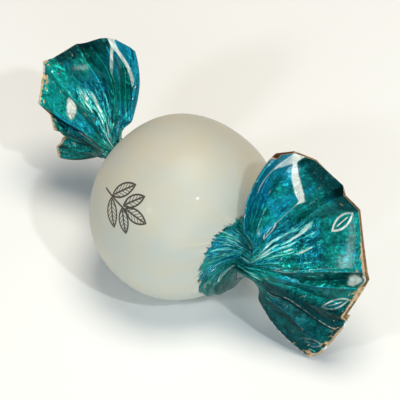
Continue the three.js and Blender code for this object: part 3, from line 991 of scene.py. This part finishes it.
class Finish:
    """A material, and the nodes that its colours, gloss and relief come from."""

    def __init__(self, name):
        self.material = bpy.data.materials.new(name)
        self.material.use_nodes = True
        self.tree = self.material.node_tree
        self.tree.nodes.clear()

    def node(self, kind, settings=None, sockets=None):
        """A node of that kind. Its settings are made first, and then its sockets are set or linked."""
        node = self.tree.nodes.new("ShaderNode" + kind)
        for key, value in (settings or {}).items():
            setattr(node, key, value)
        for key, value in (sockets or {}).items():
            value = getattr(value, "socket", value)
            if isinstance(value, bpy.types.NodeSocket):
                self.tree.links.new(value, node.inputs[key])
            elif node.inputs[key].type == "RGBA":
                node.inputs[key].default_value = (*value, 1)
            else:
                node.inputs[key].default_value = value
        return node

    def maths(self, operation, *values):
        node = self.node("Math", {"operation": operation}, dict(enumerate(values)))
        return Measure(self, node.outputs[0])

    def attribute(self, name):
        node = self.node("Attribute", {"attribute_name": name})
        return Measure(self, node.outputs["Fac"])

    def flat_place(self):
        """The place on the flat film, as a vector and as its three measures."""
        vector = self.node("Attribute", {"attribute_name": "film_place"}).outputs["Vector"]
        parts = self.node("SeparateXYZ", sockets={0: vector})
        return vector, [Measure(self, part) for part in parts.outputs]

    def highest(self, first, *others):
        for other in others:
            first = self.maths("MAXIMUM", first, other)
        return first

    def lowest(self, first, *others):
        for other in others:
            first = self.maths("MINIMUM", first, other)
        return first

    def noise(self, place, scale, detail=2.0, roughness=0.5):
        """Cloudy noise from 0 to 1, with its patches about 1 / scale across."""
        sockets = {"Vector": place, "Scale": scale, "Detail": detail, "Roughness": roughness}
        return Measure(self, self.node("TexNoise", sockets=sockets).outputs[0])

    def step(self, value, low, high):
        """0 up to low, 1 from high, and a soft rise in between."""
        settings = {"interpolation_type": "SMOOTHSTEP"}
        sockets = {"Value": value, "From Min": low, "From Max": high}
        return Measure(self, self.node("MapRange", settings, sockets).outputs["Result"])

    def blend(self, way, low, high):
        """A colour between two."""
        node = self.node("Mix", {"data_type": "RGBA"}, {0: way, 6: low, 7: high})
        return node.outputs[2]

    def painted(self, ground, *coats):
        """A colour under coats of others. Each coat is how much it covers, and its colour."""
        for cover, shade in coats:
            ground = self.blend(cover, ground, shade)
        return ground

    def vectors(self, operation, first, second):
        return self.node("VectorMath", {"operation": operation}, {0: first, 1: second}).outputs

    def drawn_out(self, place, stretch):
        """The place on a film that is drawn out along its length, for what runs along its folds."""
        return self.vectors("MULTIPLY", place, (1, 1, 1 / stretch))["Vector"]

    def facets(self, place, scale):
        """The height of small flat facets, each tilted its own way."""
        cells = self.node("TexVoronoi", sockets={"Vector": place, "Scale": scale}).outputs
        offset = self.vectors("SUBTRACT", place, cells["Position"])["Vector"]
        tilt = self.vectors("SUBTRACT", cells["Color"], (0.5, 0.5, 0.5))["Vector"]
        return Measure(self, self.vectors("DOT_PRODUCT", offset, tilt)["Value"])

    def relief(self, height, depth, under=None):
        """The normal of a surface whose height runs from 0 to 1 over a depth in metres."""
        sockets = {"Height": height, "Distance": depth}
        if under is not None:
            sockets["Normal"] = under
        return self.node("Bump", sockets=sockets).outputs[0]

    def surface(self, **sockets):
        """The shader that the film shows, with its sockets named with _ for a space."""
        named = {key.replace("_", " "): value for key, value in sockets.items()}
        shader = self.node("BsdfPrincipled", sockets=named)
        self.node("OutputMaterial", sockets={"Surface": shader.outputs[0]})
        return self.material


def leaf(finish, across, along, centre, angle, half_length, half_width):
    """How far a point is outside a pointed leaf's outline, and its places across and along it."""
    cos, sin = math.cos(angle), math.sin(angle)
    aside, ahead = across - centre[0], along - centre[1]
    x = abs(aside * cos + ahead * sin)
    y = ahead * cos - aside * sin
    radius = (half_length**2 + half_width**2) / (2 * half_width)
    offset = radius - half_width
    far = finish.maths("SQRT", (x + offset) * (x + offset) + y * y)
    return far - radius, x, y


def leaf_pattern(finish, around_film, from_print):
    """Small leaf outlines in staggered rows, from 0 to 1."""
    columns, row_height, circumference = 7, 9.0, 88.0
    angle, half_length, half_width = 0.5, 1.9, 0.75
    rows = from_print / row_height - 0.05
    row = finish.maths("FLOOR", rows)
    cells = around_film * (columns / (2 * math.pi)) + row * 0.5 + 0.34
    across = (cells % 1 - 0.5) * (circumference / columns)
    along = (rows % 1 - 0.5) * row_height
    outline, x, y = leaf(finish, across, along, (0, 0), angle, half_length, half_width)
    line = 1 - finish.step(abs(outline), 0.1, 0.18)
    rib = (1 - finish.step(x, 0.05, 0.12)) * (1 - finish.step(abs(y), 0.9, 1.1))
    return finish.highest(line, rib)


def veined_leaf(finish, across, along, centre, angle, half_length, half_width):
    """How far a point is from the nearest line of a leaf: its outline, its rib or a vein."""
    between_veins = 0.62
    outline, x, y = leaf(finish, across, along, centre, angle, half_length, half_width)
    rib = finish.highest(x, abs(y) - 0.8 * half_length)
    from_vein = abs((y - x) % between_veins - between_veins / 2)
    return finish.lowest(abs(outline), rib, finish.highest(from_vein + 0.06, outline + 0.1))


def sprig(finish, around_film, along):
    """A sprig of mint in fine lines, from 0 to 1: a stem, a leaf at its tip and two pairs below."""
    radius = 14  # of the film round the sweet, in millimetres
    across = (around_film - SPRIG_AROUND) * radius
    along = along - SPRIG_ALONG
    leaves = [((0.0, 4.6), 0.0, 2.0, 0.95)]
    for height, size in ((3.1, 1.0), (0.5, 1.15)):
        for side in (-1, 1):
            leaves.append(((side * 1.75 * size, height), -side * 0.95, 1.9 * size, 0.85 * size))
    bend = finish.maths("SINE", along * 0.35) * 0.25
    stem = finish.highest(abs(across - bend), abs(along + 0.1) - 2.7)
    lines = [veined_leaf(finish, across, along, *form) for form in leaves]
    return 1 - finish.step(finish.lowest(stem, *lines), 0.09, 0.19)


class PrintedFinish(Finish):
    """The film's outside: cream with a sprig in brown, and metallic teal past a frayed border, with
    painted shade, a painted blue sheen and painted highlights in the teal. Its lengths are in
    millimetres on the flat film."""

    border_width = 0.18  # over which the cream turns to teal
    frayed_by = (2.2, 3.4, 1.2)  # how far the clouds, the specks and the grain fray that border
    nearer_below = 2.6  # how much nearer to the middle it lies underneath
    under_twist_to = (20, 25)  # how far from the middle the painted shade under a twist dies out
    edge_zone = (0.5, 3.0)  # how far from the free edge the print stops flaking more
    cut_width = (0.25, 0.45)  # how far from it the bare cut ends
    facet_height = 0.9  # of the teal's facets
    wrinkle_height = 0.4  # of the cream's soft wrinkles
    grain_height = 0.025  # of the grain all over

    def __init__(self, film):
        super().__init__(PRINTED)
        self.film = film
        self.print_start = film.print_start / MM
        self.place, (x, y, self.along) = self.flat_place()
        self.around = self.maths("ARCTAN2", y, x)
        self.from_middle = abs(self.along)
        self.from_edge = self.attribute("from_edge")
        self.crest = self.attribute("crest")
        self.blue = self.attribute("blue")
        self.glint = self.attribute("glint")
        self.dark_edge = self.attribute("dark_edge")
        self.clouds = self.noise(self.place, 0.16, detail=3)
        self.specks = self.noise(self.place, 1.4, detail=4, roughness=0.6)
        self.grain = self.noise(self.place, 3.5, detail=3)
        self.strands = self.noise(self.drawn_out(self.place, 4.0), 1.25, detail=4, roughness=0.6)
        self.downwards = self.maths("COSINE", self.around - UNDERNEATH)
        self.teal = self.print_border()
        # Painted shade: the print's depth mark, with more under each twist, paints the teal deeper where
        # the folds would be in shade
        before_end = 1 - self.step(self.from_middle, *self.under_twist_to)
        self.under_twist = self.step(self.downwards, -0.1, 0.5) * before_end
        patches = (self.noise(self.place, 0.5, detail=3) - 0.5) * 0.5
        deep = self.attribute("depth") + patches + self.under_twist * 0.14
        self.shaded = self.step(deep, 0.15, 0.95)
        self.at_edge = 1 - self.step(self.from_edge, *self.edge_zone)

    def print_border(self):
        """0 on the cream and 1 on the teal."""
        frayed = self.from_middle
        for noise, reach in zip((self.clouds, self.specks, self.grain), self.frayed_by):
            frayed = frayed + (noise - 0.5) * reach
        frayed = frayed + self.step(self.downwards, 0.4, 1) * self.nearer_below
        return self.step(frayed, self.print_start, self.print_start + self.border_width)

    def cream(self):
        """Pearly cream in warmer and cooler clouds, with the sprig on it."""
        film = self.film
        cream = self.blend(self.step(self.clouds, 0.2, 0.8), film.cream, film.cool_white)
        return self.painted(cream, (sprig(self, self.around, self.along) * 0.95, film.ink))

    def foil(self):
        """Teal that shimmers from green to blue, with painted shade where it is turned away, under each
        twist and in dark painted streaks along the folds, and a random darker mottling.
        """
        deep_teal = self.film.deep_teal
        # The noise is the print's own random shimmer; the blue mark adds a painted blue sheen
        shimmer = self.noise(self.place, 0.22) + self.crest * 0.08 + self.blue * 0.34
        shimmering = self.step(shimmer, 0.5, 0.72)
        return self.painted(
            self.blend(shimmering, self.film.green_teal, self.film.blue_teal),
            (self.shaded, deep_teal),
            (self.step(self.grain, 0.35, 0.75) * 0.3, deep_teal),
            ((1 - self.step(self.strands, 0.34, 0.5)) * 0.6, deep_teal),
        )

    def leaves(self):
        """The printed leaf outlines, where there is neither painted shade nor painted blue sheen."""
        outlines = leaf_pattern(self, self.around, self.from_middle - self.print_start)
        return outlines * (1 - self.shaded) * (1 - self.step(self.blue, 0.1, 0.3))

    def worn(self):
        """How far the print has worn off along its ridges. The silver lines there are partly wear and
        partly painted highlight lines.
        """
        return self.step(self.crest * self.attribute("wear") + (self.specks - 0.5) * 0.9, 0.42, 0.62)

    def glints(self):
        """Painted glints: the painted highlight streaks where the film is gathered, and their brightest
        parts.
        """
        glinting = self.strands + self.glint * (0.25 - self.under_twist * 0.25)
        return self.step(glinting, 0.68, 0.76), self.step(glinting, 0.76, 0.84)

    def pale_lines(self):
        """The painted highlight lines and spot on each fan."""
        return 1 - self.step(self.attribute("from_pale") + (self.specks - 0.5) * 0.5, 0.6, 1)

    def flaked(self):
        """Where the print has flaked off in specks, most of all beside the free edge."""
        flaking = self.noise(self.place, 1.1, detail=4, roughness=0.7)
        flaking = flaking + self.at_edge * (0.11 - self.dark_edge * 0.11) + self.under_twist * 0.07
        return self.step(flaking, 0.66, 0.7)

    def cut_edge(self):
        """How much the bare cut shows, and its colour: gold, with silver patches that are painted
        glints.
        """
        uneven = self.from_edge - (self.specks - 0.5) * 0.8 + self.dark_edge * 0.6
        patches = self.step(self.noise(self.place, 0.45), 0.56, 0.64)
        tone = self.blend(patches, self.film.gold, self.film.silver)
        return 1 - self.step(uneven, *self.cut_width), tone

    def relief_of_film(self):
        """Facets in the teal, soft wrinkles in the cream beside it, and a fine grain on both."""
        facets = self.facets(self.place, 1.3) * self.teal * self.step(self.specks, 0.3, 0.7)
        pulled = self.step(self.from_middle, 5, self.print_start) * (1 - self.teal)
        wrinkles = self.noise(self.drawn_out(self.place, 5.0), 0.3) * pulled
        normal = self.relief(self.grain * self.teal + self.grain * 0.3, self.grain_height * MM)
        normal = self.relief(wrinkles, self.wrinkle_height * MM, normal)
        return self.relief(facets, self.facet_height * MM, normal)

    def finished(self):
        """The material, with the print's layers and its painted shade, sheen and highlights over each
        other.
        """
        film, teal = self.film, self.teal
        leaves, pale_lines = self.leaves(), self.pale_lines()
        glints, brightest = self.glints()
        cut, cut_tone = self.cut_edge()
        printed = self.painted(
            self.foil(),
            (leaves * 0.9, film.silver),
            (self.worn() * 0.8, film.silver),
            (glints * 0.9, film.glint),
            (brightest * 0.9, film.silver),
            (pale_lines * 0.95, film.silver),
            (self.flaked() * 0.8, film.gold),
            (cut, cut_tone),
        )
        # pale: the leaf print, the cut, and the painted highlight lines and glints, which are made less
        # metallic
        pale = self.highest(leaves, pale_lines, glints * 0.8, cut * 0.8)
        return self.surface(
            Base_Color=self.blend(teal, self.cream(), printed),
            Metallic=teal * (0.92 - pale * 0.7),
            Roughness=0.52 - teal * (0.18 + self.glint * 0.16) + (self.grain - 0.5) * 0.12,
            Coat_Weight=0.06 + teal * (0.1 - self.shaded * 0.1 - self.at_edge * 0.12),
            Coat_Roughness=0.1,
            IOR=1.5,
            Normal=self.relief_of_film(),
        )


def printed_film(film):
    """The outside of the film."""
    return PrintedFinish(film).finished()


def bare_inside(film):
    """The unprinted inner side, a dull gold."""
    finish = Finish("bare_inside")
    place, _ = finish.flat_place()
    grain = finish.noise(place, 2.4, detail=4, roughness=0.6)
    shade = finish.blend(finish.step(grain, 0.35, 0.7), film.gold, DARK_GOLD)
    return finish.surface(
        Base_Color=shade,
        Metallic=0.6,
        Roughness=0.32 + (grain - 0.5) * 0.2,
        Normal=finish.relief(grain, 0.06 * MM),
    )


def pale_floor(studio):
    finish = Finish("pale_floor")
    grain = finish.noise(finish.node("TexCoord").outputs["Object"], 400, detail=3)
    shade = finish.blend(grain * 0.15, studio.floor, [0.94 * part for part in studio.floor])
    return finish.surface(Base_Color=shade, Roughness=0.8)


# ---- Stage -------------------------------------------------------------------------------------


class View:
    """The directions of the photograph's view: to its right, up it, and back to the camera."""

    def __init__(self, azimuth, elevation):
        flat = math.cos(elevation)
        self.back = Vector((math.sin(azimuth) * flat, -math.cos(azimuth) * flat, math.sin(elevation)))
        self.right = Vector((math.cos(azimuth), math.sin(azimuth), 0))
        self.up = self.back.cross(self.right)

    def direction(self, right, up, back):
        return (self.right * right + self.up * up + self.back * back).normalized()


def stand_off(placed, aim, direction, distance):
    """Puts a lamp or a camera at a distance from a point, and turns it to that point."""
    placed.location = aim + direction * distance
    placed.rotation_euler = direction.to_track_quat("Z", "Y").to_euler()


def lamp(name, view, aim, watts):
    """A round or oval lamp that faces the sweet."""
    towards, distance, width, height, shade = LAMPS[name]
    light = bpy.data.lights.new(name, "AREA")
    light.shape = "ELLIPSE"
    light.size = width
    light.size_y = height
    light.energy = watts
    light.color = shade
    stand_off(add_object(name, light), aim, view.direction(*towards), distance)


def camera(studio, view, aim):
    lens = bpy.data.cameras.new("camera")
    lens.lens = lens.sensor_width * studio.distance / studio.view_width
    lens.clip_end = 10
    camera_object = add_object("camera", lens)
    stand_off(camera_object, aim, view.back, studio.distance)
    bpy.context.scene.camera = camera_object


def floor(studio):
    """A wide floor that bends up into a backdrop far behind the sweet. Its lengths are in metres."""
    half_width, before, behind, bend, height, steps = 2.0, 2.0, 2.0, 0.6, 1.5, 8
    rows = [(-before, 0.0)]
    for step in range(steps + 1):
        angle = math.radians(90 * step / steps)
        rows.append((behind + bend * math.sin(angle), bend - bend * math.cos(angle)))
    rows.append((behind + bend, bend + height))
    points = [(x, back, up) for back, up in rows for x in (-half_width, half_width)]
    faces = [(2 * row, 2 * row + 1, 2 * row + 3, 2 * row + 2) for row in range(len(rows) - 1)]
    mesh = bpy.data.meshes.new("floor")
    mesh.from_pydata(points, [], faces)
    mesh.materials.append(pale_floor(studio))
    mesh.polygons.foreach_set("use_smooth", [True] * len(faces))
    add_object("floor", mesh)


def room(studio):
    """A plain, pale room all round."""
    world = bpy.data.worlds.new("room")
    world.use_nodes = True
    background = world.node_tree.nodes["Background"].inputs
    background["Color"].default_value = (*ROOM_COLOUR, 1)
    background["Strength"].default_value = studio.room
    bpy.context.scene.world = world


# ---- Operators and panel -----------------------------------------------------------------------


def settings_of(context):
    return context.scene.mint_fondant


class MINT_OT_body_film(bpy.types.Operator):
    """Shut the film round the sweet, gather it at both ends and twist it"""

    bl_idname = "mint.body_film"
    bl_label = "Wrap the Sweet"
    bl_options = {"REGISTER", "UNDO"}

    def execute(self, context):
        settings = settings_of(context)
        piece = body_film(PrintedFilm(settings))
        settle(piece.build([printed_film(settings.film)]))
        return {"FINISHED"}


class MINT_OT_fans(bpy.types.Operator):
    """Spread the film past each twist into a pleated fan"""

    bl_idname = "mint.fans"
    bl_label = "Spread the Fans"
    bl_options = {"REGISTER", "UNDO"}

    def execute(self, context):
        settings = settings_of(context)
        film = PrintedFilm(settings)
        near_rings = slice(len(film.outside) - 1 - FAN_RINGS, None)
        far_rings = slice(FAN_RINGS, None, -1)
        near = fan_film("near_fan", film, near_rings, film.near_inside, film.ends[1], False)
        far = fan_film("far_fan", film, far_rings, film.far_inside, film.ends[0], True)
        printed = bpy.data.materials.get(PRINTED) or printed_film(settings.film)
        finishes = [printed, bare_inside(settings.film)]
        for piece in (near, far):
            settle(piece.build(finishes))
        return {"FINISHED"}


class MINT_OT_stage(bpy.types.Operator):
    """Set up the floor, the lamps and the camera"""

    bl_idname = "mint.stage"
    bl_label = "Set the Stage"
    bl_options = {"REGISTER", "UNDO"}

    def execute(self, context):
        settings = settings_of(context)
        studio = settings.studio
        view = View(studio.azimuth, studio.elevation)
        aim = UP * settings.sweet.rest_height + view.right * studio.aim_right + view.up * studio.aim_up
        context.scene.view_settings.view_transform = "Standard"
        camera(studio, view, aim)
        floor(studio)
        room(studio)
        for name in LAMPS:
            lamp(name, view, aim, getattr(studio, name))
        return {"FINISHED"}


class MINT_PT_settings(bpy.types.Panel):
    """The settings of the wrapped sweet, in the sidebar"""

    bl_idname = "MINT_PT_settings"
    bl_label = "Mint Fondant"
    bl_space_type = "VIEW_3D"
    bl_region_type = "UI"
    bl_category = "Mint Fondant"

    def draw(self, context):
        settings = settings_of(context)
        for group_name in FondantSettings.__annotations__:
            group = getattr(settings, group_name)
            box = self.layout.box()
            box.label(text=settings.bl_rna.properties[group_name].name)
            for name in type(group).__annotations__:
                box.prop(group, name)
        for operator in (MINT_OT_body_film, MINT_OT_fans, MINT_OT_stage):
            self.layout.operator(operator.bl_idname)


CLASSES = (
    SweetSizes,
    NearFan,
    FarFan,
    FilmSettings,
    StudioSettings,
    FondantSettings,
    MINT_OT_body_film,
    MINT_OT_fans,
    MINT_OT_stage,
    MINT_PT_settings,
)


def register():
    for cls in CLASSES:
        bpy.utils.register_class(cls)
    bpy.types.Scene.mint_fondant = bpy.props.PointerProperty(type=FondantSettings)


def unregister():
    del bpy.types.Scene.mint_fondant
    for cls in reversed(CLASSES):
        bpy.utils.unregister_class(cls)


def main():
    register()
    bpy.ops.mint.body_film()
    bpy.ops.mint.fans()
    bpy.ops.mint.stage()
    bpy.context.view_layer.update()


if __name__ == "__main__":
    main()
